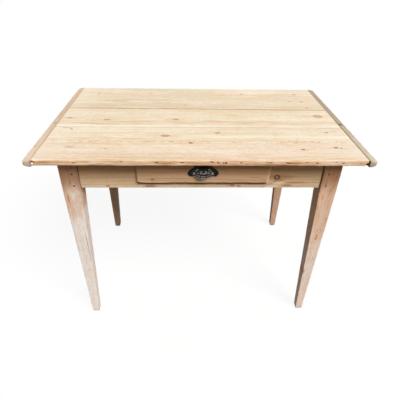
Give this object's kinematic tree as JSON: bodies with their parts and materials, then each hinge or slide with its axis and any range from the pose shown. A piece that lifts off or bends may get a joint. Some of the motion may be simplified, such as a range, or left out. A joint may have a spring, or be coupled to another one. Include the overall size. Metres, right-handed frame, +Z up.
{
  "type": "farmhouse table",
  "caption": "Pine kitchen table with a boarded top between end cleats, tapered square legs pegged to deep aprons, and a lipped drawer with an iron cup pull that slides out of the front.",
  "frame": {"origin": "on the floor, under the middle of the top", "axes": "+X along the table's length, to the right as seen from the drawer side; +Y to the back; +Z up"},
  "size_m": [1.11, 0.725, 0.77],
  "materials": {
    "top_pine": "scrubbed and waxed pine, pale, with knots",
    "cleat_pine": "worn pine, slightly greyed",
    "frame_pine": "stripped pine with traces of pale wash on the legs",
    "drawer_pine": "stripped pine, worn at the edges",
    "inner_pine": "bare unfinished pine",
    "peg_wood": "dark end grain",
    "dark_iron": "blackened cast iron, rubbed bright on the raised parts",
    "fastener_steel": "dull steel"
  },
  "bodies": {
    "table": {"back_board": "top_pine", "second_board": "top_pine", "third_board": "top_pine", "front_board": "top_pine", "left_end_cleat": "cleat_pine", "right_end_cleat": "cleat_pine", "end_cleat_pegs": "peg_wood", "front_left_leg": "frame_pine", "front_right_leg": "frame_pine", "back_left_leg": "frame_pine", "back_right_leg": "frame_pine", "front_apron": "frame_pine", "back_apron": "frame_pine", "left_apron": "frame_pine", "right_apron": "frame_pine", "joint_pegs": "peg_wood", "left_drawer_runner": "inner_pine", "right_drawer_runner": "inner_pine", "left_drawer_guide": "inner_pine", "right_drawer_guide": "inner_pine", "guide_nails": "fastener_steel", "top_buttons": "inner_pine", "top_button_screws": "fastener_steel"},
    "drawer": {"drawer_front": "drawer_pine", "drawer_left_side": "inner_pine", "drawer_right_side": "inner_pine", "drawer_back": "inner_pine", "drawer_bottom": "inner_pine", "drawer_bottom_nails": "fastener_steel", "cup_pull": "dark_iron", "cup_pull_screws": "dark_iron"}
  },
  "joints": [
    {"name": "drawer_slide", "type": "slide", "parent": "table", "child": "drawer", "axis": [0, -1, 0], "range_m": [0, 0.34]}
  ]
}
